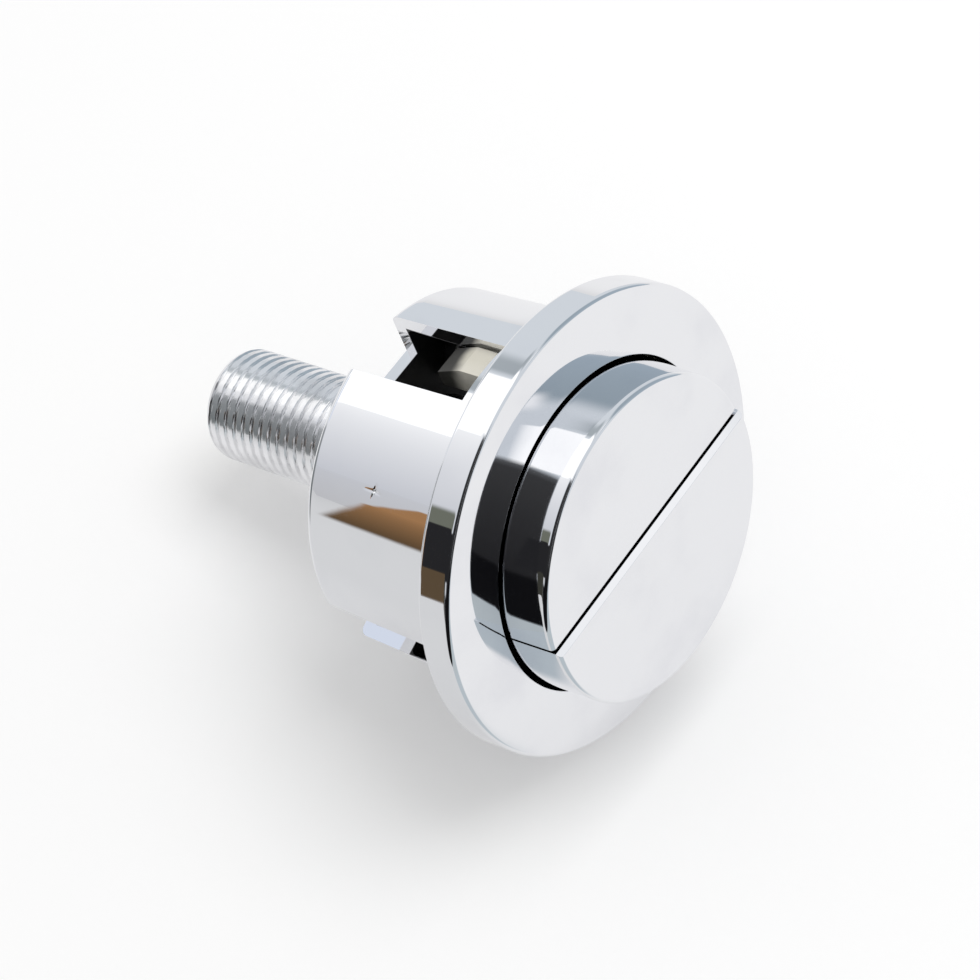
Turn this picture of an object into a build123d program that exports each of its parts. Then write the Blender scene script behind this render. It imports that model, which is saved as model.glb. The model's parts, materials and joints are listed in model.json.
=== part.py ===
import os
from math import cos, radians, sin, tan

from build123d import *

# Dual-flush push button for a cistern lid, in millimetres.
# The flange sits on the lid at z = 0 and the buttons face +Z.
# The split between the buttons runs along X, with the small button on the -Y side.

# Flange and barrel
flange_d = 50.0
flange_t = 3.85  # at the rim
flange_crown = 0.45  # the flange's face rises this much from its rim to the lip of the well
flange_edge = 0.5  # rounding of the flange's rim
spigot_d = 40.0  # straight band of the barrel that fills the hole in the lid
band = 4.5  # height of that band, from the flange down to the slots
barrel_end_d = 38.6  # the barrel is drafted below the band
barrel_len = 19.8
barrel_edge = 1.0  # rounding of the rear rim
barrel_wall = 1.6
floor_t = 1.5
floor_corner = 0.8  # rounding inside, between wall and floor
well_d = 35.6  # mouth of the well that the buttons run in
well_edge = 0.3

# Slots for the snap arms
slot_w = 7.64
notch_depth = 13.7  # from the axis to the flat bottom of the notch in the floor
slot_spread = 75.0  # degrees from the middle of the large button to each of its slots

# Buttons
small_rise = 5.95  # small button's face above the flange's rim
large_rise = 6.65
travel = 5.0
button_gap = 0.45  # shadow gap between button and well, at the height of the flange's rim
button_draft = 1.6  # degrees by which a button narrows towards its face
button_edge = 0.55  # rounding of the face's round edge
split_y = -1.68
split_gap = 0.35
split_chamfer = 0.52  # along the large button's face, where it stands above the small one
split_edge = 0.2  # rounding of the other edges along the split
cap_t = 1.6
skirt_t = 1.4
skirt_drop = 1.8  # how far the skirts reach below the flange's underside

# Sliders under the caps
slider_gap = 0.3  # between the two sliders and between their push rods
rim_t = 1.5
spigot_t = 1.4
spigot_h = 3.6
cap_clear = 0.05
arm_w = 3.4
arm_t = 1.8
arm_inset = 0.3
arm_side_gap = 0.27  # between the small button's arm and the side of its slot
catch = 0.6  # how far a barb hooks under the band
catch_gap = 0.25
barb_land = 3.5
barb_ramp = 3.3

# Threaded stem, with a ring groove for each turn of the thread
thread_d = 12.7
thread_pitch = 1.27
thread_depth = 0.8
thread_angle = 60.0  # degrees between the flanks
stem_len = 27.05
stem_end = 1.2  # rounding of the free end
stem_bore_d = 8.2
tail_d = 10.4  # tail that is pressed into the housing's boss
tail_clear = 0.03
boss_wall = 2.8
boss_h = 5.0
rod_clear = 0.15
rod_recess = 1.0  # the push rods stop short of the stem's end
rod_end = 0.5

# Return springs and their posts
wire_d = 0.7
spring_d = 5.7
spring_turns = 6.5
spring_x = 8.5
spring_y = 9.5
seat_gap = 0.04  # between the wire and its seats
post_clear = 0.25  # between a post and the inside of its spring
post_edge = 0.4
peg_h = 2.2
stop_gap = 0.3  # left between peg and post when a button is fully pressed

# Worked out from the sizes above
flange_r = flange_d / 2
spigot_r = spigot_d / 2
barrel_end_r = barrel_end_d / 2
well_r = well_d / 2
well_end_r = barrel_end_r - barrel_wall
rear_z = -barrel_len
floor_z = rear_z + floor_t
lip_z = flange_t + flange_crown
well_draft = (well_r - well_end_r) / (lip_z - floor_z)
band_bore_r = well_r - well_draft * (lip_z + band)
button_r = well_r - button_gap
button_taper = tan(radians(button_draft))
skirt_z = -skirt_drop
rim_z = skirt_z - rim_t
arm_out = button_r - arm_inset
arm_shift = slot_w / 2 - arm_side_gap - arm_w / 2
barb_z = -band - catch_gap
stem_z = rear_z - stem_len
thread_slope = tan(radians(thread_angle / 2))
thread_turns = int((stem_len - stem_end) / thread_pitch)
groove_heights = [rear_z - (turn + 0.5) * thread_pitch for turn in range(thread_turns)]
boss_z = floor_z + boss_h
rod_r = stem_bore_d / 2 - rod_clear
spring_len = rim_z - floor_z
post_r = spring_d / 2 - wire_d - post_clear
post_h = spring_len - peg_h - travel - stop_gap
small_slot = -90.0
large_slots = (90.0 - slot_spread, 90.0 + slot_spread)
overrun = 1.0  # cutters run this far past the faces they cut


def half_disc(radius, cut, side, mode=Mode.ADD):
    # Disc that is cut straight along X at y = cut: side +1 keeps what lies above, -1 what lies below.
    with BuildSketch(mode=Mode.PRIVATE) as disc:
        Circle(radius)
        with Locations((0, cut + side * radius)):
            Rectangle(2 * radius, 2 * radius, mode=Mode.INTERSECT)
    add(disc.sketch, mode=mode)


def build_cap(side, face_z, bevel=0):
    # Hollow button: a drafted disc with a rounded rim, cut straight along the split and opened from below.
    cut = split_y + side * split_gap / 2
    foot_r = button_r + (flange_t - skirt_z) * button_taper
    face_r = button_r - (face_z - flange_t) * button_taper
    with BuildPart() as cap:
        with BuildSketch(Plane.XZ):
            with BuildLine():
                FilletPolyline(
                    (0, skirt_z),
                    (foot_r, skirt_z),
                    (face_r, face_z),
                    (0, face_z),
                    radius=[0, 0, button_edge, 0],
                    close=True,
                )
            make_face()
        revolve(axis=Axis.Z)
        with Locations((0, cut + side * foot_r, skirt_z)):
            Box(
                2 * foot_r,
                2 * foot_r,
                face_z - skirt_z,
                align=(Align.CENTER, Align.CENTER, Align.MIN),
                mode=Mode.INTERSECT,
            )
        cut_face = cap.faces().filter_by(Axis.Y).sort_by(Axis.Y)[0 if side > 0 else -1]
        foot = cut_face.edges().sort_by(Axis.Z)[0]
        fillet([edge for edge in cut_face.edges() if edge != foot], split_edge)
        if bevel:
            with BuildSketch(Plane.YZ):
                with BuildLine():
                    Polyline(
                        (cut - side * overrun, face_z - bevel - overrun),
                        (cut + side * (bevel + overrun), face_z + overrun),
                        (cut - side * overrun, face_z + overrun),
                        close=True,
                    )
                make_face()
            extrude(amount=foot_r, both=True, mode=Mode.SUBTRACT)
        with BuildSketch(Plane.XY.offset(skirt_z)):
            half_disc(button_r - skirt_t, cut + side * skirt_t, side)
        extrude(amount=face_z - cap_t - skirt_z, mode=Mode.SUBTRACT)
    return cap.part


def build_slider(side, arms):
    # Carrier under a cap: a rim, a spigot inside the cap's skirt, spring pegs, snap arms and a push rod.
    cut = split_y + side * slider_gap / 2
    inner_r = button_r - skirt_t - cap_clear
    inner_cut = split_y + side * (split_gap / 2 + skirt_t + cap_clear)
    with BuildPart() as slider:
        with BuildSketch(Plane.XY.offset(rim_z)):
            half_disc(button_r, cut, side)
        extrude(amount=rim_t)
        with BuildSketch(Plane.XY.offset(skirt_z)):
            half_disc(inner_r, inner_cut, side)
            half_disc(inner_r - spigot_t, inner_cut + side * spigot_t, side, Mode.SUBTRACT)
        extrude(amount=spigot_h)
        with BuildSketch(Plane.XY.offset(rim_z)):
            with Locations((-spring_x, side * spring_y), (spring_x, side * spring_y)):
                Circle(post_r)
        extrude(amount=-peg_h)
        for angle, shift in arms:
            outward = Vector(cos(radians(angle)), sin(radians(angle)), 0)
            across = Vector(outward.Y, -outward.X, 0)
            with BuildSketch(Plane(across * shift, x_dir=outward, z_dir=across)):
                with BuildLine():
                    Polyline(
                        (arm_out - arm_t, skirt_z),
                        (arm_out, skirt_z),
                        (arm_out, barb_z),
                        (band_bore_r + catch, barb_z),
                        (band_bore_r + catch, barb_z - barb_land),
                        (arm_out, barb_z - barb_land - barb_ramp),
                        (arm_out - arm_t, barb_z - barb_land - barb_ramp),
                        close=True,
                    )
                make_face()
            extrude(amount=arm_w / 2, both=True)
        with BuildSketch(Plane.XY.offset(stem_z + rod_recess)):
            half_disc(rod_r, cut, side)
        extrude(amount=rim_z - stem_z - rod_recess)
        chamfer(slider.faces().sort_by(Axis.Z)[0].edges(), rod_end)
    return slider.part


def build_spring(x, y):
    # Compression spring with its lower end on the housing's floor.
    coil_r = (spring_d - wire_d) / 2
    coil_h = spring_len - wire_d - 2 * seat_gap
    with BuildPart() as spring:
        with BuildLine():
            coil = Helix(coil_h / spring_turns, coil_h, coil_r, (x, y, floor_z + seat_gap + wire_d / 2))
        with BuildSketch(Plane(coil @ 0, z_dir=coil % 0)):
            Circle(wire_d / 2)
        sweep(path=coil, is_frenet=True)
    return spring.part


def save(piece, name):
    piece.label = name
    export_step(piece, f"parts/{name}.step")


os.makedirs("parts", exist_ok=True)

# Housing: flange, barrel and floor in one plated moulding
with BuildPart() as housing:
    with BuildSketch(Plane.XZ) as section:
        with BuildLine():
            TangentArc((well_r, lip_z), (flange_r, flange_t), tangent=(1, 0))
            Polyline(
                (flange_r, flange_t),
                (flange_r, 0),
                (spigot_r, 0),
                (spigot_r, -band),
                (barrel_end_r, rear_z),
                (0, rear_z),
                (0, floor_z),
                (well_end_r, floor_z),
                (well_r, lip_z),
            )
        make_face()
        for corner, radius in (
            ((flange_r, flange_t), flange_edge),
            ((flange_r, 0), flange_edge),
            ((well_r, lip_z), well_edge),
            ((well_end_r, floor_z), floor_corner),
            ((barrel_end_r, rear_z), barrel_edge),
        ):
            fillet(section.vertices().sort_by_distance(corner)[0], radius)
    revolve(axis=Axis.Z)
    with BuildSketch(Plane.XY.offset(floor_z)):
        Circle(tail_d / 2 + tail_clear + boss_wall)
    extrude(amount=boss_h)
    Hole(tail_d / 2 + tail_clear)
    with BuildSketch(Plane.XY.offset(floor_z)):
        with GridLocations(2 * spring_x, 2 * spring_y, 2, 2):
            Circle(post_r)
    extrude(amount=post_h)
    chamfer(housing.faces(Select.LAST).group_by(Axis.Z)[-1].edges(), post_edge)
    for angle in (small_slot, *large_slots):
        with Locations(Location((0, 0, 0), (0, 0, angle))):
            with Locations((notch_depth, 0, -band)):
                Box(
                    spigot_r - notch_depth + overrun,
                    slot_w,
                    barrel_len - band + overrun,
                    align=(Align.MIN, Align.CENTER, Align.MAX),
                    mode=Mode.SUBTRACT,
                )
save(housing.part, "housing")

# Stem: a threaded tube with a tail pressed into the housing's boss
with BuildPart() as stem:
    with BuildSketch(Plane.XZ):
        with BuildLine():
            FilletPolyline(
                (stem_bore_d / 2, stem_z),
                (thread_d / 2, stem_z),
                (thread_d / 2, rear_z),
                (tail_d / 2, rear_z),
                (tail_d / 2, boss_z),
                (stem_bore_d / 2, boss_z),
                radius=[0, stem_end, 0, 0, 0, 0],
                close=True,
            )
        make_face()
        with Locations([(thread_d / 2, height) for height in groove_heights]):
            Polygon(
                (-thread_depth, 0),
                (overrun, -(thread_depth + overrun) * thread_slope),
                (overrun, (thread_depth + overrun) * thread_slope),
                align=None,
                mode=Mode.SUBTRACT,
            )
    revolve(axis=Axis.Z)
save(stem.part, "threaded_stem")

# Buttons and the sliders that carry them
save(build_cap(-1, flange_t + small_rise), "small_button")
save(build_cap(1, flange_t + large_rise, split_chamfer), "large_button")
save(build_slider(-1, [(small_slot, arm_shift)]), "small_slider")
save(build_slider(1, [(angle, 0) for angle in large_slots]), "large_slider")

# Return springs, two under each slider
for owner, side in (("small", -1), ("large", 1)):
    for hand, x in (("left", -spring_x), ("right", spring_x)):
        save(build_spring(x, side * spring_y), f"{owner}_spring_{hand}")
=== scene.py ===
import json

import bmesh
import bpy
import numpy as np
from mathutils import Matrix, Vector


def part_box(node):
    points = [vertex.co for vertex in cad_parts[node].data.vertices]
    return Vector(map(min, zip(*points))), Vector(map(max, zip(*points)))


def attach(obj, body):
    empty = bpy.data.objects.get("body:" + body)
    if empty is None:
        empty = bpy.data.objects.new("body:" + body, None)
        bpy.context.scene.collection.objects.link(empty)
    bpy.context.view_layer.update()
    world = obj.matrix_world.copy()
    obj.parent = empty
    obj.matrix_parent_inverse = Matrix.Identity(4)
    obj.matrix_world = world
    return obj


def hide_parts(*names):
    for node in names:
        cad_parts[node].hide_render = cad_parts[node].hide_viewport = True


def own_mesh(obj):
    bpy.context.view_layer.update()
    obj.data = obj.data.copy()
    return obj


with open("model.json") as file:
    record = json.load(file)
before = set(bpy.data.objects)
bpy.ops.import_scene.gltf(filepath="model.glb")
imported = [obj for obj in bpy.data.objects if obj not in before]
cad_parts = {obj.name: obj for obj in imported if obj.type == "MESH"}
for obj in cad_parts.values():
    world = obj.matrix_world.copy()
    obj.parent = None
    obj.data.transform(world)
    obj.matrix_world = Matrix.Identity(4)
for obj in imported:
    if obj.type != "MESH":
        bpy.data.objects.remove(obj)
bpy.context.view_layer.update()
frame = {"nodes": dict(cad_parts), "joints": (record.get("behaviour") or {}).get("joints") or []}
mm = 0.001
turn = 2 * np.pi
sharpAngle = np.radians(35)  # between faces, from which an edge counts as sharp


# Surfaces

def nodeBox(node):
    low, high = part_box(node)  # lowest and highest corner of a node, in metres
    return np.array(low), np.array(high)


def upTo(start, end, steps):
    # points from start towards end without the end itself: even steps, and one close to each end
    # so that the smooth shading of a rounding stays on the rounding
    share = np.concatenate([[0, 0.01], np.arange(1, steps) / steps, [0.99]])[:, None]
    return np.array(start) + share * (np.array(end) - np.array(start))


def roundCorner(before, at, after, radius, steps):
    # arc that touches both sides of a corner: its centre is on the bisector,
    # radius / sin(half angle) away
    before, at, after = (np.array(p, float) for p in (before, at, after))
    first = (before - at) / np.linalg.norm(before - at)
    second = (after - at) / np.linalg.norm(after - at)
    half = np.arccos(first @ second) / 2
    bisector = (first + second) / np.linalg.norm(first + second)
    centre = at + bisector * radius / np.sin(half)
    start = at + first * radius / np.tan(half) - centre
    end = at + second * radius / np.tan(half) - centre
    sweep = np.arctan2(start[0] * end[1] - start[1] * end[0], start @ end)
    angle = np.arctan2(start[1], start[0]) + sweep * np.linspace(0, 1, steps)
    return centre + radius * np.stack([np.cos(angle), np.sin(angle)], 1)


def graded(span, coarse, fine, centre, reach):
    # places from 0 to span: the spacing is coarse, and fine within reach of the centre
    samples = 4001
    place = np.linspace(0, span, samples)
    density = 1 / coarse + (1 / fine - 1 / coarse) * np.exp(-(((place - centre) / reach) ** 4))
    count = np.concatenate([[0], np.cumsum((density[1:] + density[:-1]) / 2 * np.diff(place))])
    return np.interp(np.linspace(0, count[-1], int(np.ceil(count[-1])) + 1), count, place)


def gridQuads(rows, columns, closedRows=False, closedColumns=True):
    # quads between neighbours of a grid whose rows and columns may close on themselves
    row = np.arange(rows if closedRows else rows - 1)[:, None]
    column = np.arange(columns if closedColumns else columns - 1)[None, :]
    nextRow, nextColumn = (row + 1) % rows, (column + 1) % columns
    corners = [row * columns + column, row * columns + nextColumn]
    corners += [nextRow * columns + nextColumn, nextRow * columns + column]
    return np.stack(corners, -1)


def makePiece(name, points, quads, softEdge=0.0):
    mesh = bpy.data.meshes.new(name)
    mesh.from_pydata(points.reshape(-1, 3).tolist(), [], quads.reshape(-1, 4).tolist())
    tidy = bmesh.new()
    tidy.from_mesh(mesh)
    bmesh.ops.remove_doubles(tidy, verts=tidy.verts, dist=1e-7)  # closes seams and poles
    bmesh.ops.recalc_face_normals(tidy, faces=tidy.faces)
    tidy.to_mesh(mesh)
    tidy.free()
    mesh.shade_smooth()
    mesh.set_sharp_from_angle(angle=sharpAngle)
    piece = bpy.data.objects.new(name, mesh)
    bpy.context.scene.collection.objects.link(piece)
    if softEdge:
        bevel = piece.modifiers.new("soft edges", "BEVEL")
        bevel.limit_method = "ANGLE"
        bevel.angle_limit = sharpAngle
        bevel.width = softEdge
        bevel.segments = 3
        bevel.harden_normals = True
    print(name, "has", len(mesh.vertices), "vertices and", len(mesh.polygons), "faces")
    return piece


def settle(piece, body, slot, material, *replaced):
    piece.data.materials.append(material)
    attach(piece, body)
    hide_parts(*replaced)


# Shader maths

class Wire:  # a socket that takes part in Python sums
    def __init__(self, finish, socket):
        self.finish, self.socket = finish, socket

    def maths(self, operation, left, right):
        return self.finish.node("Math", {"operation": operation}, {0: left, 1: right})

    def __add__(self, other):
        return self.maths("ADD", self, other)

    def __radd__(self, other):
        return self.maths("ADD", other, self)

    def __sub__(self, other):
        return self.maths("SUBTRACT", self, other)

    def __rsub__(self, other):
        return self.maths("SUBTRACT", other, self)

    def __mul__(self, other):
        return self.maths("MULTIPLY", self, other)

    def __rmul__(self, other):
        return self.maths("MULTIPLY", other, self)

    def root(self):
        return self.maths("SQRT", self, 0.0)


class Finish:  # the nodes of a material or of the world
    def __init__(self, owner):
        owner.use_nodes = True
        self.owner, self.tree = owner, owner.node_tree
        self.tree.nodes.clear()

    def node(self, kind, settings={}, sockets={}, output=0):
        made = self.tree.nodes.new("ShaderNode" + kind)
        for key, value in settings.items():
            setattr(made, key, value)
        for key, value in sockets.items():
            if isinstance(value, Wire):
                self.tree.links.new(value.socket, made.inputs[key])
            else:
                made.inputs[key].default_value = value
        return Wire(self, made.outputs[output]) if made.outputs else made

    def mix(self, factor, first, second):  # a colour between two colours
        return self.node("Mix", {"data_type": "RGBA"}, {0: factor, 6: first, 7: second}, 2)

    def noise(self, scale, detail, stretch=(1, 1, 1)):
        place = self.node("TexCoord", output="Object")
        place = self.node("Mapping", {}, {"Vector": place, "Scale": stretch})
        return self.node("TexNoise", {}, {"Vector": place, "Scale": scale, "Detail": detail})

    def between(self, value, low, high):  # 0 below low, 1 above high, smooth between
        sockets = {0: value, 1: low, 2: high}
        return self.node("MapRange", {"interpolation_type": "SMOOTHSTEP"}, sockets)

    def place(self):  # the three Object coordinates
        split = self.node("SeparateXYZ", {}, {0: self.node("TexCoord", output="Object")})
        return [Wire(self, socket) for socket in split.socket.node.outputs]

    def ray(self, kind):  # 1 where the ray is of that kind
        return self.node("LightPath", output=f"Is {kind} Ray")

    def put(self, shader):
        isWorld = isinstance(self.owner, bpy.types.World)
        self.node("OutputWorld" if isWorld else "OutputMaterial", {}, {"Surface": shader})
        return self.owner


def grey(level):
    return (level, level, level, 1)


# Finishes

chrome = {
    "bright": (0.90, 0.905, 0.92, 1),
    "dull": (0.84, 0.845, 0.87, 1),
    "smudge": 90.0,  # patches a metre
    "smudgeSpan": (0.45, 0.75),  # of the noise, from clean to smudged
    "speck": 2600.0,
    "speckSpan": (0.66, 0.74),
    "wave": 240.0,
    "waveHeight": 0.004 * mm,
    "hollowShade": (0.012, 0.012, 0.013, 1),  # painted shade: black non-metal inside the housing's hollow
    "hollowShadeEnd": 1.5 * mm,  # height over the flange's underside by which the painted shade has faded back to plating
    "hollowShadeBlend": 0.12 * mm,
    "roughness": 0.025,
    "smudgeRough": 0.03,  # added where the smudge is full
    "speckRough": 0.03,
    "hollowShadeRough": 0.4,
}


def makeChrome(name, hollowShadeRadius=None, hollowShadeHeight=0.0):
    finish = Finish(bpy.data.materials.new(name))
    smudge = finish.between(finish.noise(chrome["smudge"], 4), *chrome["smudgeSpan"])
    speck = finish.between(finish.noise(chrome["speck"], 1), *chrome["speckSpan"])
    swell = finish.noise(chrome["wave"], 1)
    colour = finish.mix(smudge, chrome["bright"], chrome["dull"])
    roughness = chrome["roughness"] + smudge * chrome["smudgeRough"] + speck * chrome["speckRough"]
    metallic = 1.0
    if hollowShadeRadius:  # painted shade: black non-metal inside that radius, from the floor up
        x, y, z = finish.place()
        radius = (x * x + y * y).root()
        inward = 1 - finish.between(radius, hollowShadeRadius, hollowShadeRadius + chrome["hollowShadeBlend"])
        hollowShade = inward * finish.between(z, hollowShadeHeight - 0.1 * mm, hollowShadeHeight - 0.01 * mm)
        hollowShade = hollowShade * (1 - finish.between(z, 0, chrome["hollowShadeEnd"]))
        colour = finish.mix(hollowShade, colour, chrome["hollowShade"])
        roughness = roughness + hollowShade * chrome["hollowShadeRough"]
        metallic = 1 - hollowShade
    shader = finish.node("BsdfPrincipled", {}, {
        "Base Color": colour,
        "Metallic": metallic,
        "Roughness": roughness,
        "Normal": finish.node("Bump", {}, {"Distance": chrome["waveHeight"], "Height": swell}),
    })
    return finish.put(shader)


satin = {
    "bright": (0.90, 0.90, 0.91, 1),
    "dull": (0.76, 0.76, 0.77, 1),
    "grain": 1800.0,
    "patch": 260.0,
    "patchSpan": (0.4, 0.7),
    "grainHeight": 0.01 * mm,
    "roughness": 0.13,
    "patchRough": 0.07,
    "grainRough": 0.06,
}


def makeSatinMetal(name):
    finish = Finish(bpy.data.materials.new(name))
    grain = finish.noise(satin["grain"], 3, (1, 1, 0.25))
    patch = finish.between(finish.noise(satin["patch"], 4), *satin["patchSpan"])
    bump = finish.node("Bump", {}, {"Distance": satin["grainHeight"], "Height": grain})
    shader = finish.node("BsdfPrincipled", {}, {
        "Base Color": finish.mix(patch, satin["bright"], satin["dull"]),
        "Metallic": 1.0,
        "Roughness": satin["roughness"] + patch * satin["patchRough"] + grain * satin["grainRough"],
        "Normal": bump,
    })
    return finish.put(shader)


plastic = {
    "pale": (0.80, 0.77, 0.68, 1),
    "deep": (0.72, 0.69, 0.59, 1),
    "flow": 180.0,
    "flowSpan": (0.35, 0.7),
    "pore": 5200.0,
    "poreHeight": 0.006 * mm,
    "armShade": (0.05, 0.048, 0.043, 1),  # painted shade: dark lower ends of the snap arms, deep in the slots
    "armShadeTop": -7.6 * mm,
    "armShadeDepth": 2 * mm,
    "armRadius": 13 * mm,  # the snap arms lie outside it
    "roughness": 0.42,
    "poreRough": 0.12,
    "refraction": 1.48,
}


def makePlastic(name):
    finish = Finish(bpy.data.materials.new(name))
    flow = finish.between(finish.noise(plastic["flow"], 3, (1, 1, 0.4)), *plastic["flowSpan"])
    pore = finish.noise(plastic["pore"], 2)
    bump = finish.node("Bump", {}, {"Distance": plastic["poreHeight"], "Height": pore})
    x, y, z = finish.place()
    radius = (x * x + y * y).root()
    outer = finish.between(radius, plastic["armRadius"], plastic["armRadius"] + mm)
    # painted shade: the snap arms darken towards their lower ends, with an edge made wavy by the flow
    # noise
    armShadeFoot = plastic["armShadeTop"] - plastic["armShadeDepth"]
    armShade = outer * finish.between(z + flow * mm, plastic["armShadeTop"], armShadeFoot)
    clean = finish.mix(flow, plastic["pale"], plastic["deep"])
    shader = finish.node("BsdfPrincipled", {}, {
        "Base Color": finish.mix(armShade, clean, plastic["armShade"]),
        "Roughness": plastic["roughness"] + pore * plastic["poreRough"],
        "IOR": plastic["refraction"],
        "Normal": bump,
    })
    return finish.put(shader)


spring = {
    "wire": 0.7 * mm,
    "turns": 6.5,
    "aroundWire": 12,
    "aroundCoil": 40,
    "bright": (0.42, 0.415, 0.40, 1),
    "dark": (0.25, 0.245, 0.24, 1),
    "draw": 2400.0,  # fine streaks
    "drawHeight": 0.008 * mm,
    "stain": 420.0,
    "stainSpan": (0.45, 0.7),
    "roughness": 0.38,
    "drawRough": 0.2,
}


def makeSpringSteel(name):
    finish = Finish(bpy.data.materials.new(name))
    draw = finish.noise(spring["draw"], 3, (1, 1, 0.3))
    stain = finish.between(finish.noise(spring["stain"], 4), *spring["stainSpan"])
    bump = finish.node("Bump", {}, {"Distance": spring["drawHeight"], "Height": draw})
    shader = finish.node("BsdfPrincipled", {}, {
        "Base Color": finish.mix(stain, spring["bright"], spring["dark"]),
        "Metallic": 1.0,
        "Roughness": spring["roughness"] + draw * spring["drawRough"],
        "Normal": bump,
    })
    return finish.put(shader)


buttonChrome = makeChrome("button chrome")
stemMetal = makeSatinMetal("stem metal")
sliderPlastic = makePlastic("slider plastic")
springSteel = makeSpringSteel("spring steel")
print("finishes made")


# Housing

housing = {
    "flangeEdge": 0.5 * mm,
    "crown": 0.45 * mm,  # rise of the flange's face from its rim to the lip of the well
    "bandRadius": 20.0 * mm,  # of the barrel under the flange
    "bandDepth": 4.5 * mm,  # from there to the slots
    "rearRadius": 19.3 * mm,  # where the drafted barrel reaches the rear plane
    "rearEdge": 1.0 * mm,
    "wall": 1.6 * mm,
    "plate": 1.5 * mm,
    "plateCorner": 0.8 * mm,
    "wellRadius": 17.72 * mm,
    "wellEdge": 0.15 * mm,
    "hollowShadeMargin": 0.05 * mm,  # by which the painted shade inside reaches past the well
    "slotWidth": 7.64 * mm,
    "notchDepth": 13.7 * mm,  # from the axis to the flat bottom of a notch
    "slotAngles": (-90.0, 15.0, 165.0),
    "holeRadius": 5.23 * mm,
    "bossRadius": 8.03 * mm,
    "bossHeight": 5.0 * mm,
    "postRadius": 1.9 * mm,
    "postHeight": 7.5 * mm,
    "postEdge": 0.4 * mm,
    "postSink": 0.02 * mm,
    "postColumns": 40,
    "softEdge": 0.15 * mm,
    "rowHeight": 0.6 * mm,
    "degreesPerColumn": 1.25,
    "slotColumns": 18,
}
nick = {  # small star-shaped dent in the barrel
    "angle": -45.6,
    "height": -10.8 * mm,
    "arms": ((180, 1.7), (-79, 0.9), (99, 1.0), (10, 1.1)),  # degrees from +Z, length in millimetres
    "depth": 0.06 * mm,
    "width": 0.14 * mm,
    "spacing": 0.075 * mm,
    "reach": 1.9 * mm,
}


def nickDepth(across, along):
    # sum of straight grooves from one point: a bell across each arm that fades towards its end
    depth = np.zeros(np.broadcast(across, along).shape)
    for degrees, length in nick["arms"]:
        ahead = along * np.cos(np.radians(degrees)) + across * np.sin(np.radians(degrees))
        aside = across * np.cos(np.radians(degrees)) - along * np.sin(np.radians(degrees))
        fade = np.clip(1 - ahead / (length * mm), 0, 1) * np.clip(1 + ahead / nick["width"], 0, 1)
        depth += nick["depth"] * fade * np.exp(-((aside / nick["width"]) ** 2))
    return depth


def flangeFace(rim, lip):
    # side rounding, then an arc of the crowned face:
    # its radius = (width squared + rise squared) / (2 * rise)
    s = housing
    edge, width = s["flangeEdge"], rim - s["wellRadius"]
    dome = (width**2 + s["crown"] ** 2) / (2 * s["crown"])
    lift = np.sqrt((dome - edge) ** 2 - (width - edge) ** 2)  # of the rounding's centre over the arc's
    reach = np.arctan2(lift, width - edge)
    bend = np.linspace(0, reach, 12)
    side = np.stack([rim - edge + edge * np.cos(bend), lip - dome + lift + edge * np.sin(bend)], 1)
    tilt = np.linspace(np.pi / 2 - reach, s["wellEdge"] / dome, 14)[1:-1]
    face = np.stack([s["wellRadius"] + dome * np.sin(tilt), lip - dome + dome * np.cos(tilt)], 1)
    return side, face


def housingRows(low, high):
    # closed section as (radius, height): outside from notch to band, flange and well, inside,
    # plate and boss
    s = housing
    rear, face, flangeRadius = low[2], high[2], high[0]
    band, floor = -s["bandDepth"], rear + s["plate"]
    wellEnd = s["rearRadius"] - s["wall"]
    corner = np.hypot(s["notchDepth"], s["slotWidth"] / 2)
    inside = s["wellRadius"] + (wellEnd - s["wellRadius"]) * (face - band) / (face - floor)
    bandFoot = (s["bandRadius"] + (s["rearRadius"] - s["bandRadius"]) * band / rear, band)
    rearBend = roundCorner((0, rear), (s["rearRadius"], rear), bandFoot, s["rearEdge"], 14)
    floorBend = roundCorner((0, floor), (wellEnd, floor), (s["wellRadius"], face), s["plateCorner"], 14)
    span = band - rearBend[-1, 1]
    nickClimb = nick["height"] - rearBend[-1, 1]
    climb = graded(span, s["rowHeight"], nick["spacing"], nickClimb, nick["reach"])
    share = climb[1:, None] / span
    outer = [upTo((corner, rear), rearBend[0], 5), rearBend]
    outer += [rearBend[-1] + share * (np.array(bandFoot) - rearBend[-1])]
    inner = [upTo((corner, floor), floorBend[0], 5), floorBend]
    inner += [floorBend[-1] + share * (np.array([inside, band]) - floorBend[-1])]
    outer, inner = np.concatenate(outer), np.concatenate(inner)[::-1]
    under = roundCorner((0, 0), (flangeRadius, 0), (flangeRadius, face), s["flangeEdge"], 10)
    over, crown = flangeFace(flangeRadius, face)
    lip = roundCorner((flangeRadius, face), (s["wellRadius"], face), (wellEnd, floor), s["wellEdge"], 8)
    ring = [upTo(bandFoot, (s["bandRadius"], 0), 8)[1:]]
    ring += [upTo((s["bandRadius"], 0), under[0], 5), under, upTo(under[-1], over[0], 6)[1:], over]
    ring += [crown, lip, upTo(lip[-1], inner[0], 12)[1:]]
    hub = s["notchDepth"] - s["wall"] / 2  # last full circle inside the notches
    bossTop = floor + s["bossHeight"]
    turns = [(hub, floor), (s["bossRadius"], floor), (s["bossRadius"], bossTop)]
    turns += [(s["holeRadius"], bossTop), (s["holeRadius"], rear), (hub, rear)]
    core = [upTo(here, there, 5) for here, there in zip(turns, turns[1:])]
    return outer, np.concatenate(ring), inner, np.concatenate(core), corner


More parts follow.
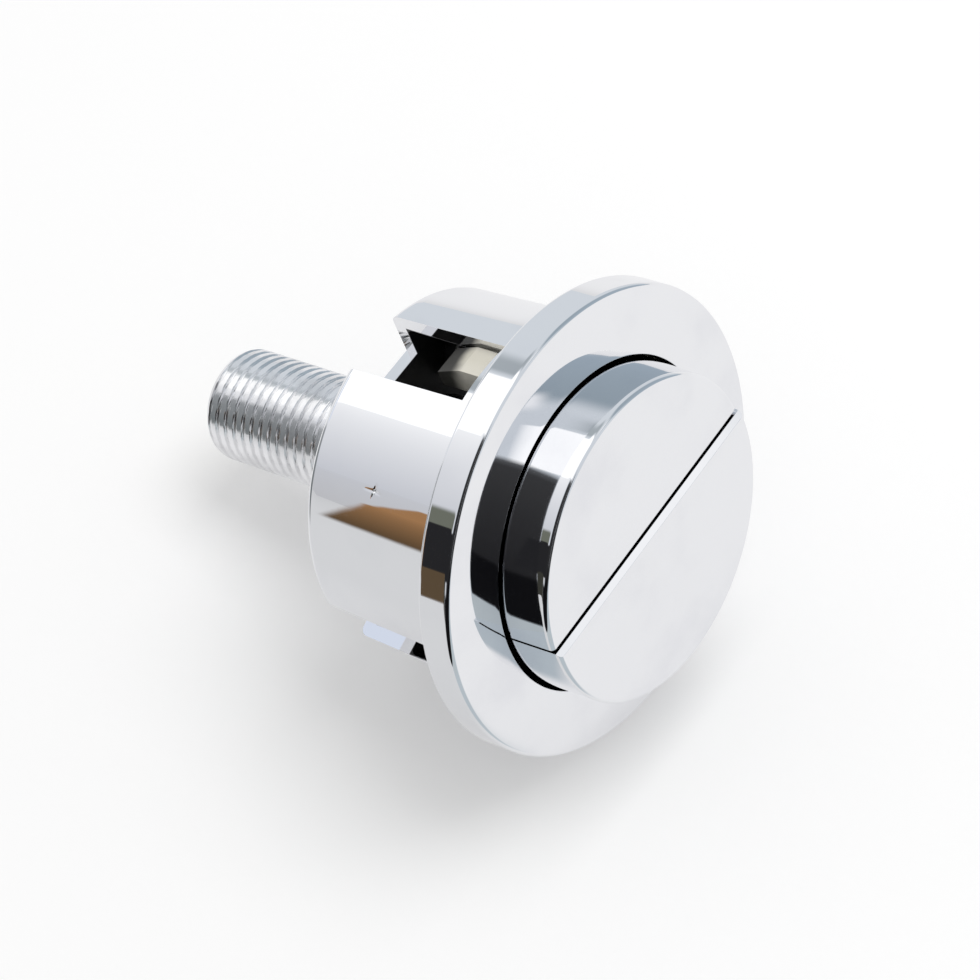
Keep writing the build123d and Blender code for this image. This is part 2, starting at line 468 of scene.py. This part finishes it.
def housingColumns():
    # each column's angle is base + weight * half,
    # where half is the angle from a slot's middle to its side
    s = housing
    half = np.degrees(np.arcsin(s["slotWidth"] / 2 / s["bandRadius"]))
    ends = (*s["slotAngles"][1:], s["slotAngles"][0] + 360)
    base, weight, isSlot = [], [], []
    for start, end in zip(s["slotAngles"], ends):
        side = np.linspace(-1, 1, s["slotColumns"], endpoint=False)
        span = end - start - 2 * half
        fine = np.degrees(nick["spacing"] / s["bandRadius"])
        reach = np.degrees(nick["reach"] / s["bandRadius"])
        nickPlace = nick["angle"] - start - half
        share = graded(span, s["degreesPerColumn"], fine, nickPlace, reach)[:-1] / span
        base += [np.full(len(side), start), start + share * (end - start)]
        weight += [side, 1 - 2 * share]
        isSlot += [np.ones(len(side), bool), np.zeros(len(share), bool)]
    return np.radians(np.concatenate(base)), np.concatenate(weight), np.concatenate(isSlot)


def housingSurface(low, high):
    # section swung round the axis, with three windows left open and closed again by flat slot walls
    s = housing
    outer, ring, inner, core, corner = housingRows(low, high)
    base, weight, isSlot = housingColumns()
    section = np.concatenate([outer, ring, inner, core])
    radius, height = section[:, :1] + 0 * base, section[:, 1:] + 0 * base
    half = np.arcsin(s["slotWidth"] / 2 / np.maximum(radius, corner))
    angle = base + weight * half
    outerEnd, innerStart = len(outer) - 1, len(outer) + len(ring)
    innerEnd = innerStart + len(inner) - 1
    flat = s["notchDepth"] / np.cos(weight * half[0])  # bottom of a notch, straight across
    radius[0] = np.where(isSlot, flat, radius[0])
    radius[innerEnd] = np.where(isSlot, flat, radius[innerEnd])
    across = (angle[: len(outer)] - np.radians(nick["angle"])) * s["bandRadius"]
    radius[: len(outer)] -= nickDepth(across, height[: len(outer)] - nick["height"])
    points = np.stack([radius * np.cos(angle), radius * np.sin(angle), height], -1)
    rows, columns = radius.shape
    quads = gridQuads(rows, columns, True)
    row = np.arange(rows)[:, None]
    windowRows = (row < outerEnd) | ((row >= innerStart) & (row < innerEnd))
    kept = quads[~(windowRows & isSlot[None, :])]
    slot = np.flatnonzero(isSlot)
    after = slot + 1
    front = [outerEnd * columns + slot, outerEnd * columns + after]
    front += [innerStart * columns + after, innerStart * columns + slot]
    notch = [slot, after, innerEnd * columns + after, innerEnd * columns + slot]
    edges = np.flatnonzero(isSlot != np.roll(isSlot, 1))[None, :]  # columns along the slots' sides
    step = np.arange(outerEnd)[:, None]
    side = [step * columns + edges, (step + 1) * columns + edges]
    side += [(innerEnd - step - 1) * columns + edges, (innerEnd - step) * columns + edges]
    walls = [np.stack(wall, -1).reshape(-1, 4) for wall in (front, notch, side)]
    return points.reshape(-1, 3), np.concatenate([kept, *walls])


def postSurface(x, y, floor):
    # upright post with a chamfered top: a small section swung round its own axis
    s = housing
    top = floor + s["postHeight"]
    radius, edge, foot = s["postRadius"], s["postEdge"], floor - s["postSink"]
    section = [(0, foot), (radius, foot), (radius, top - edge), (radius - edge, top), (0, top)]
    section = np.array(section)
    angle = np.linspace(0, turn, s["postColumns"], endpoint=False)
    points = [x + section[:, :1] * np.cos(angle), y + section[:, :1] * np.sin(angle)]
    points += [section[:, 1:] + 0 * angle]
    return np.stack(points, -1).reshape(-1, 3), gridQuads(len(section), len(angle)).reshape(-1, 4)


housingLow, housingHigh = nodeBox("housing")
housingFloor = housingLow[2] + housing["plate"]
springNodes = ("small_spring_left", "small_spring_right", "large_spring_left", "large_spring_right")
springMiddles = [sum(nodeBox(node)) / 2 for node in springNodes]
shells = [housingSurface(housingLow, housingHigh)]
shells += [postSurface(x, y, housingFloor) for x, y, z in springMiddles]
starts = np.cumsum([0] + [len(points) for points, quads in shells])
housingPoints = np.concatenate([points for points, quads in shells])
housingQuads = np.concatenate([quads + start for (points, quads), start in zip(shells, starts)])
hollowShadeRadius = housing["wellRadius"] + housing["hollowShadeMargin"]
# the housing's chrome carries the painted shade of its hollow
housingChrome = makeChrome("housing chrome", hollowShadeRadius, housingFloor)
housingPiece = makePiece("chromed_housing", housingPoints, housingQuads, housing["softEdge"])
settle(housingPiece, "housing", "plated_housing", housingChrome, "housing")
print("housing done")


# Buttons

cap = {
    "edge": 0.55 * mm,  # rounding of the face's round edge
    "draft": 1.6,  # degrees by which the skirt narrows towards the face
    "skirt": 1.4 * mm,
    "thickness": 1.6 * mm,
    "chamfers": {"small_button": 0.0, "large_button": 0.52 * mm},  # along the split
    "softEdges": {"small_button": 0.2 * mm, "large_button": 0.08 * mm},
    "closer": 0.03 * mm,  # each cap's share of a narrower split
    "middle": 0.45,  # share of the radius from the split to the point that the face closes on
    "arcColumns": 220,
    "splitColumns": 60,
}


def halfDisc(radius, cut, side):
    # outline of a disc cut straight at y = cut: the arc on one side of the cut,
    # then the straight line back
    meet = np.arcsin(cut / radius)
    first = meet if side > 0 else np.pi - meet
    sweep = np.pi - 2 * meet if side > 0 else np.pi + 2 * meet
    angle = first + sweep * np.arange(cap["arcColumns"]) / cap["arcColumns"]
    share = np.arange(cap["splitColumns"]) / cap["splitColumns"]
    reach = radius * np.cos(meet)
    x = np.concatenate([radius * np.cos(angle), side * reach * (2 * share - 1)], 1)
    y = np.concatenate([radius * np.sin(angle), cut + 0 * share], 1)
    return x, y


def capSurface(low, high, side, chamfer):
    # half discs stacked from the middle of the face over the rounded rim, down the skirt and up inside
    s = cap
    top, foot = high[2], low[2]
    cut = (low[1] if side > 0 else high[1]) - side * s["closer"]
    footRadius = nodeBox("large_button")[1][0]
    faceRadius = footRadius - (top - foot) * np.tan(np.radians(s["draft"]))
    bore, ceiling = footRadius - s["skirt"], top - s["thickness"]
    rim = roundCorner((0, top), (faceRadius, top), (footRadius, foot), s["edge"], 12)
    outside = np.concatenate([rim, upTo(rim[-1], (footRadius, foot), 6)[1:], [(footRadius, foot)]])
    inside = np.concatenate([upTo((bore, foot), (bore, ceiling), 4), [(bore, ceiling)]])
    spread = np.array([0, 0.3, 0.6, 0.85, 0.96, 0.99])
    face, back = np.repeat(rim[:1], len(spread), 0), np.repeat(inside[-1:], len(spread), 0)
    section = np.concatenate([face, outside, inside, back])
    scale = np.concatenate([spread, np.ones(len(outside) + len(inside)), spread[::-1]])[:, None]
    bevel = np.clip(section[:, 1] - rim[-1, 1], 0, None) * chamfer / (top - rim[-1, 1])
    isInside = np.arange(len(section)) >= len(face) + len(outside)
    cuts = cut + side * np.where(isInside, s["skirt"], bevel)
    x, y = halfDisc(section[:, :1], cuts[:, None], side)
    middle = cut + side * footRadius * s["middle"]
    points = np.stack([x * scale, middle + (y - middle) * scale, section[:, 1:] + 0 * x], -1)
    return points, gridQuads(*x.shape)


for button, side in (("small_button", -1), ("large_button", 1)):
    surface = capSurface(*nodeBox(button), side, cap["chamfers"][button])
    capPiece = makePiece(button.replace("button", "cap"), *surface, cap["softEdges"][button])
    settle(capPiece, button, "plated_button", buttonChrome, button)
print("buttons done")


# Threaded stem

stem = {
    "pitch": 1.27 * mm,
    "crest": 0.53,  # flat share of the pitch at the crest
    "root": 0.2,
    "flank": 30.0,  # degrees from square to the axis
    "endRound": 1.7 * mm,
    "boreRadius": 4.1 * mm,
    "tailRadius": 5.2 * mm,
    "columns": 96,
    "rowsPerTurn": 22,
}


def stemSurface(low, high, shoulder):
    # tube whose outside falls with the phase of a helix: depth = flank slope * distance past the crest
    s = stem
    radius, end, top = high[0], low[2], high[2]
    angle = np.linspace(0, turn, s["columns"], endpoint=False)
    slope = 1 / np.tan(np.radians(s["flank"]))
    depth = s["pitch"] * (1 - s["crest"] - s["root"]) / 2 * slope
    rows = int((shoulder - end) / s["pitch"] * s["rowsPerTurn"])
    height = np.linspace(shoulder, end, rows)[:, None]
    phase = (height / s["pitch"] + angle / turn) % 1
    past = np.abs(phase - 0.5) * s["pitch"] - s["crest"] / 2 * s["pitch"]
    cutDepth = np.clip(past * slope, 0, depth)
    inset = np.clip(end + s["endRound"] - height, 0, None)
    envelope = radius - s["endRound"] + np.sqrt(s["endRound"] ** 2 - inset**2)
    outside = np.minimum(radius - cutDepth, envelope)
    bore = np.linspace(end, top, 12)[:, None] + 0 * angle
    tail = np.linspace(top, shoulder, 6)[:, None] + 0 * angle
    radii = np.concatenate([outside, 0 * bore + s["boreRadius"], 0 * tail + s["tailRadius"]])
    heights = np.concatenate([height + 0 * angle, bore, tail])
    points = np.stack([radii * np.cos(angle), radii * np.sin(angle), heights], -1)
    return points, gridQuads(*radii.shape, True)


stemPiece = makePiece("thread_stem", *stemSurface(*nodeBox("threaded_stem"), housingLow[2]))
settle(stemPiece, "housing", "stem_metal", stemMetal, "threaded_stem")
print("stem done")


# Return springs

def springSurface(low, high):
    # round wire carried along a helix: the height grows evenly with the swing
    s = spring
    middle, wire = (low + high) / 2, s["wire"] / 2
    coil = (high[0] - low[0]) / 2 - wire
    steps = int(s["turns"] * s["aroundCoil"])
    share = np.linspace(0, 1, steps)[:, None]
    swing = turn * s["turns"] * share
    rise = low[2] + wire + share * (high[2] - low[2] - 2 * wire)
    path = np.stack([coil * np.cos(swing), coil * np.sin(swing), rise], -1)
    around = np.linspace(0, turn, s["aroundWire"], endpoint=False)
    outward = np.stack([np.cos(swing), np.sin(swing), 0 * swing], -1)
    upward = np.array([0, 0, 1.0])
    ring = outward * np.cos(around)[:, None] + upward * np.sin(around)[:, None]
    points = path + wire * ring + np.array([middle[0], middle[1], 0])
    caps = points.mean(1, keepdims=True) + 0 * points
    points = np.concatenate([caps[:1], points, caps[-1:]])
    return points, gridQuads(*points.shape[:2])


for node in springNodes:
    low, high = nodeBox(node)
    springPiece = makePiece(node.replace("spring", "coil"), *springSurface(low, high))
    settle(springPiece, "housing", "spring_steel", springSteel, node)
    press = node.split("_")[0] + "_button_press"
    travel = next(joint["range_m"][1] for joint in frame["joints"] if joint["name"] == press)
    keep = 1 - travel / (high[2] - low[2])
    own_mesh(springPiece)
print("springs done")


# Sliders keep their own solids

for node in ("small_slider", "large_slider"):
    slider = frame["nodes"][node]
    slider.data.materials.clear()
    slider.data.materials.append(sliderPlastic)
print("sliders finished")


# Camera

camera = {
    "place": (0.139662, -0.224895, 0.174876),
    "right": (-0.55641, 0.29657, 0.77618),
    "down": (0.71073, 0.65377, 0.25969),
    "lens": 113.86,
    "sensor": 36.0,
    "clip": (0.01, 20.0),
}
right = Vector(camera["right"]).normalized()
backward = right.cross(-Vector(camera["down"])).normalized()
upward = backward.cross(right)
lens = bpy.data.cameras.new("camera")
lens.lens, lens.sensor_width = camera["lens"], camera["sensor"]
lens.clip_start, lens.clip_end = camera["clip"]
viewer = bpy.data.objects.new("camera", lens)
stance = Matrix((right, upward, backward)).transposed().to_4x4()
viewer.matrix_world = Matrix.Translation(camera["place"]) @ stance
bpy.context.scene.collection.objects.link(viewer)
bpy.context.scene.camera = viewer
print("camera placed")


# Table

table = {
    "lean": 16.55,  # degrees that the part's axis leans over the table
    "facing": -94.5,  # direction of the table's normal round the axis
    "drop": 23.85 * mm,  # from the origin down to the table
    "half": 1.5,
    "white": grey(0.92),
    "glow": 0.14,  # lifts the table to white where it is seen
    "far": (0.92, 0.92, 0.93, 1),  # as the plating mirrors it beyond the part and in front of it
    # painted shade: the near tone darkens the mirrored table where the barrel's underside mirrors it
    "near": (0.74, 0.745, 0.755, 1),
    "under": (0.52, 0.58, 0.62, 1),  # painted shadow: darker and bluer beside the flange, where the large cap's side mirrors it
    "even": 0.5,  # share of the mirrored table that takes no shadow
    "nearSpan": (12 * mm, 45 * mm),  # along X
    "underSpan": (14 * mm, 24 * mm),  # along X
    "underRise": (9 * mm, 15 * mm),  # along Z
}


def towards(azimuth, elevation):
    # unit vectors of directions in degrees: azimuth turns from +X to +Y, elevation rises to +Z
    azimuth, elevation = np.radians(azimuth), np.radians(elevation)
    level = np.cos(elevation)
    return np.stack([level * np.cos(azimuth), level * np.sin(azimuth), np.sin(elevation)], -1)


def makeTable(name):
    finish = Finish(bpy.data.materials.new(name))
    lit = finish.node("BsdfDiffuse", {}, {"Color": table["white"]})
    glow = finish.node("Emission", {}, {"Color": grey(1.0), "Strength": table["glow"]})
    seen = finish.node("AddShader", {}, {0: lit, 1: glow})
    seen = finish.node("MixShader", {}, {0: finish.ray("Diffuse"), 1: seen, 2: lit})
    x, y, z = finish.place()
    # painted shade: the mirrored table darkens along X and beside the flange, standing in for the
    # part's shadow
    tone = finish.mix(finish.between(x, *table["nearSpan"]), table["far"], table["near"])
    beside = finish.between(x, *table["underSpan"]) * finish.between(z, *table["underRise"])
    tone = finish.mix(beside, tone, table["under"])
    shaded = finish.node("BsdfDiffuse", {}, {"Color": tone})
    even = finish.node("Emission", {}, {"Color": tone, "Strength": 1.0})
    mirrored = finish.node("MixShader", {}, {0: table["even"], 1: shaded, 2: even})
    top = finish.node("MixShader", {}, {0: finish.ray("Glossy"), 1: seen, 2: mirrored})
    back = finish.node("NewGeometry", output="Backfacing")
    clear = finish.node("BsdfTransparent")
    return finish.put(finish.node("MixShader", {}, {0: back, 1: top, 2: clear}))


def putStage(name, points, quads, material):
    mesh = bpy.data.meshes.new(name)
    mesh.from_pydata(points.reshape(-1, 3).tolist(), [], quads.reshape(-1, 4).tolist())
    mesh.materials.append(material)
    placed = bpy.data.objects.new(name, mesh)
    bpy.context.scene.collection.objects.link(placed)
    return placed


tableUp = Vector(towards(table["facing"], table["lean"]))
tableRight = (right - right.dot(tableUp) * tableUp).normalized()
tableAway = tableUp.cross(tableRight)
tableMiddle = -tableUp * table["drop"]
spanRight, spanAway = table["half"] * tableRight, table["half"] * tableAway
tableCorners = [tableMiddle - spanRight - spanAway, tableMiddle + spanRight - spanAway]
tableCorners += [tableMiddle + spanRight + spanAway, tableMiddle - spanRight + spanAway]
putStage("table", np.array(tableCorners), np.arange(4), makeTable("white table"))
print("table laid")


# Light and the plain cards that the plating mirrors

keyLamp = {  # broad lamp high over the table, to the part's right
    "azimuth": -112.0,
    "elevation": 24.0,
    "distance": 0.7,
    "width": 0.45,
    "power": 1.75,
}
glare, white = (1.2, 1.2, 1.2), (0.98, 0.985, 1.0)
pale, shade = (0.60, 0.615, 0.66), (0.53, 0.53, 0.54)
blue, deepBlue, mid = (0.41, 0.49, 0.57), (0.31, 0.37, 0.42), (0.50, 0.55, 0.57)
dim, black, soot = (0.05, 0.05, 0.052), (0.006, 0.006, 0.007), (0.02, 0.02, 0.022)
brown, umber, peat = (0.36, 0.19, 0.085), (0.085, 0.055, 0.03), (0.105, 0.072, 0.042)
olive, deepOlive, slate = (0.155, 0.165, 0.135), (0.042, 0.042, 0.035), (0.15, 0.165, 0.17)
steel, haze, ice = (0.33, 0.345, 0.36), (0.40, 0.44, 0.47), (0.70, 0.755, 0.87)
cardSteps = 41
cardBlend = 0.7  # below 1, the second colour sets in early
cards = {  # four corners as azimuth and elevation, reach, two colours, soft share of each side
    "softbox": (((-108, -62), (-77, -62), (-77, 44), (-108, 44)), 0.65, glare, glare, (0, 0, 0, 0.04)),
    "ceiling": (
        ((-142, 39), (-117, 39), (-117, 52), (-142, 52)),
        0.6, white, white, (0.4, 0.4, 0.4, 0.4),
    ),
    "pale wall": (((-78, -65), (-34, -65), (-34, 11), (-78, 11)), 0.6, white, pale, (0, 0, 0, 0.15)),
    "far wall": (((-38, -65), (-4, -65), (-4, 11), (-38, 11)), 0.61, pale, shade, (0, 0.2, 0, 0.15)),
    "olive board": (
        ((-44, -32), (-34, -32), (-34, -8), (-44, -8)),
        0.142, olive, olive, (0.25, 0, 0, 0.1),
    ),
    "dark box": (((-36, -32), (-16, -32), (-16, 27), (-36, 22)), 0.14, soot, soot, (0, 0, 0, 0)),
    "brown box": (
        ((-18, -32), (-2, -32), (-2, -26.5), (-18, -26.5)),
        0.142, peat, peat, (0, 0.1, 0, 0.1),
    ),
    "olive box": (
        ((-18, -27), (10, -27), (14, -10), (-18, -10)),
        0.143, deepOlive, deepOlive, (0, 0.15, 0, 0.1),
    ),
    "brown edge": (
        ((-32, -36.6), (-24, -40.2), (-24, -31.8), (-32, -31.8)),
        0.141, brown, brown, (0.1, 0, 0.1, 0),
    ),
    "brown mat": (
        ((-25.4, -39.9), (-8, -42.6), (-8, -31.8), (-25.4, -31.8)),
        0.1405, brown, umber, (0, 0.16, 0.07, 0),
    ),
    "low step": (
        ((-64, -74), (-1, -74), (-1, -50), (-64, -50)),
        0.075, steel, slate, (0.1, 0.04, 0, 0.1),
    ),
    "slot tint": (
        ((-92, -52), (-62, -52), (-62, -45), (-92, -45)),
        0.075, ice, ice, (0.1, 0.1, 0.1, 0.1),
    ),
    "edge strip": (
        ((-122, -60), (-108, -60), (-108, 30), (-122, 30)),
        0.6, haze, haze, (0.5, 0.2, 0, 0.2),
    ),
    "blue wall": (
        ((-215, 5), (-124, 5), (-124, 60), (-215, 60)),
        0.7, blue, deepBlue, (0.25, 0.15, 0.3, 0.2),
    ),
    "dim room": (((-76, 12), (44, 10), (63, 62), (-84, 62)), 0.6, dim, black, (0.03, 0.03, 0.08, 0)),
    "dark step": (((-16, -10), (15, -8), (19, 60), (-14, 60)), 0.08, black, black, (0.1, 0.04, 0.1, 0)),
    "right wall": (((13, 2), (110, 2), (110, 50), (17, 50)), 0.081, mid, mid, (0, 0.2, 0.1, 0.2)),
    "dim top": (((-100, 62), (100, 62), (100, 90), (-100, 90)), 0.6, dim, dim, (0, 0, 0, 0)),
}


def cardSurface(corners, reach):
    # patch of a sphere round the part: the directions between the four corners, drawn out to the reach
    low, lowEnd, highEnd, high = np.array(corners, float)
    across = np.linspace(0, 1, cardSteps)[:, None, None]
    along = np.linspace(0, 1, cardSteps)[None, :, None]
    place = (1 - along) * (low + across * (lowEnd - low)) + along * (high + across * (highEnd - high))
    quads = gridQuads(cardSteps, cardSteps, False, False)
    return reach * towards(place[..., 0], place[..., 1]), quads


def makeCard(name, first, last):
    finish = Finish(bpy.data.materials.new(name))
    finish.owner.cycles.emission_sampling = "NONE"
    blend = finish.node("Attribute", {"attribute_name": "blend"}, output="Fac")
    fade = finish.node("Attribute", {"attribute_name": "fade"}, output="Fac")
    tone = finish.mix(blend, (*first, 1), (*last, 1))
    glow = finish.node("Emission", {}, {"Color": tone, "Strength": 1.0})
    clear = finish.node("BsdfTransparent")
    return finish.put(finish.node("MixShader", {}, {0: fade, 1: clear, 2: glow}))


def shadeCard(mesh, soft):
    # blend grows across the card and fade drops to nothing within a soft share of each side
    share = np.linspace(0, 1, cardSteps)
    across, along = np.meshgrid(share, share, indexing="ij")
    fade = np.ones_like(across)
    for distance, width in zip((across, 1 - across, along, 1 - along), soft):
        ramp = np.clip(distance / max(width, 1e-6), 0, 1)
        fade *= ramp * ramp * (3 - 2 * ramp)
    for layer, values in (("blend", across**cardBlend), ("fade", fade)):
        mesh.attributes.new(layer, "FLOAT", "POINT").data.foreach_set("value", values.ravel())


for name, (corners, reach, first, last, soft) in cards.items():
    card = putStage(name, *cardSurface(corners, reach), makeCard(name, first, last))
    shadeCard(card.data, soft)
    card.visible_camera = card.visible_diffuse = False
    card.visible_transmission = card.visible_shadow = False
print("cards set:", len(cards))

lamp = bpy.data.lights.new("key", "AREA")
lamp.shape = "SQUARE"
lamp.size = keyLamp["width"]
lamp.energy = keyLamp["power"]
lampAim = Vector(towards(keyLamp["azimuth"], keyLamp["elevation"]))
lampSide = Vector((0, 0, 1)).cross(lampAim).normalized()
lampStance = Matrix((lampSide, lampAim.cross(lampSide), lampAim)).transposed().to_4x4()
lampPlaced = bpy.data.objects.new("key", lamp)
lampPlaced.matrix_world = Matrix.Translation(lampAim * keyLamp["distance"]) @ lampStance
lampPlaced.visible_glossy = False
bpy.context.scene.collection.objects.link(lampPlaced)

sky = {
    "fill": grey(0.65),
    "mirrored": (0.675, 0.715, 0.76, 1),
}
world = bpy.data.worlds.new("white room")
bpy.context.scene.world = world
room = Finish(world)
fill = room.node("Background", {}, {"Color": sky["fill"], "Strength": 1.0})
cool = room.node("Background", {}, {"Color": sky["mirrored"], "Strength": 1.0})
backdrop = room.node("Background", {}, {"Color": grey(1.0), "Strength": 1.0})
mirrored = room.node("MixShader", {}, {0: room.ray("Glossy"), 1: fill, 2: cool})
room.put(room.node("MixShader", {}, {0: room.ray("Camera"), 1: mirrored, 2: backdrop}))
bpy.context.scene.view_settings.view_transform = "Standard"
print("light set")
